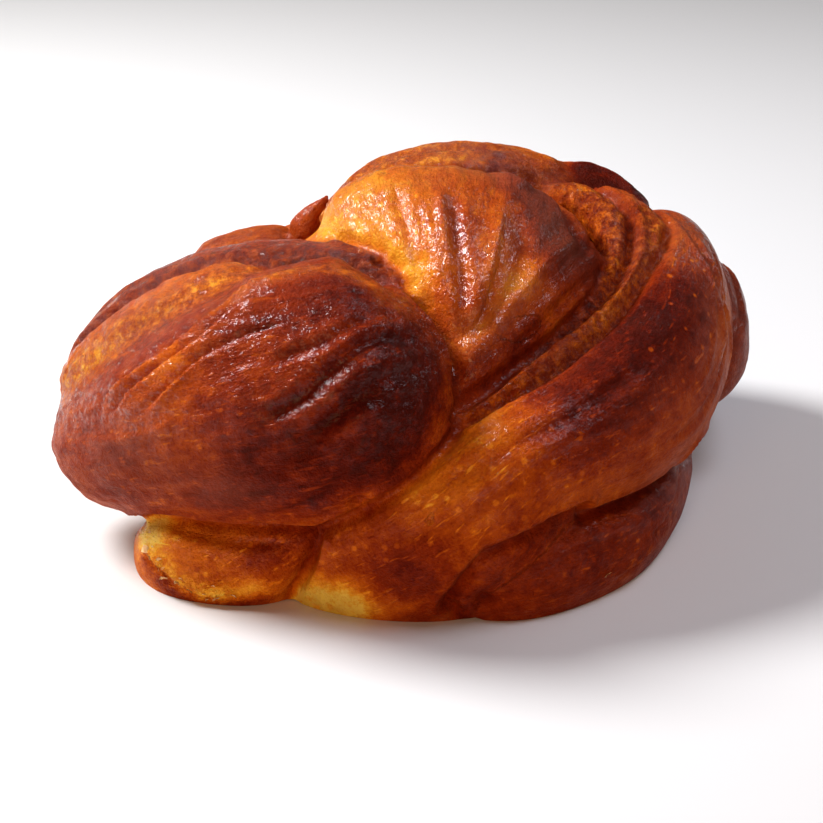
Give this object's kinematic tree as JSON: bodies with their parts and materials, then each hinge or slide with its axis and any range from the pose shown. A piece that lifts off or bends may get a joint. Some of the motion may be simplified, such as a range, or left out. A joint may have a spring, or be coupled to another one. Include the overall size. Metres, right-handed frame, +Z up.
{
  "type": "babka",
  "caption": "Round knotted loaf of twisted filled dough with a glossy browned crust, to stand on a board or plate.",
  "frame": {"origin": "centre of the loaf's bounding box, on the flat underside", "axes": "+Z up, away from the flat underside. +X along the loaf's longest side, from the big overhanging lobe towards the sweeping roll on the right. The front, where the rolls are pinched together, faces -Y"},
  "size_m": [0.2, 0.168, 0.096],
  "materials": {
    "baked_crust": "egg-glazed, deep brown, glossy baked crust"
  },
  "bodies": {
    "root": {"loaf": "baked_crust"}
  },
  "joints": []
}
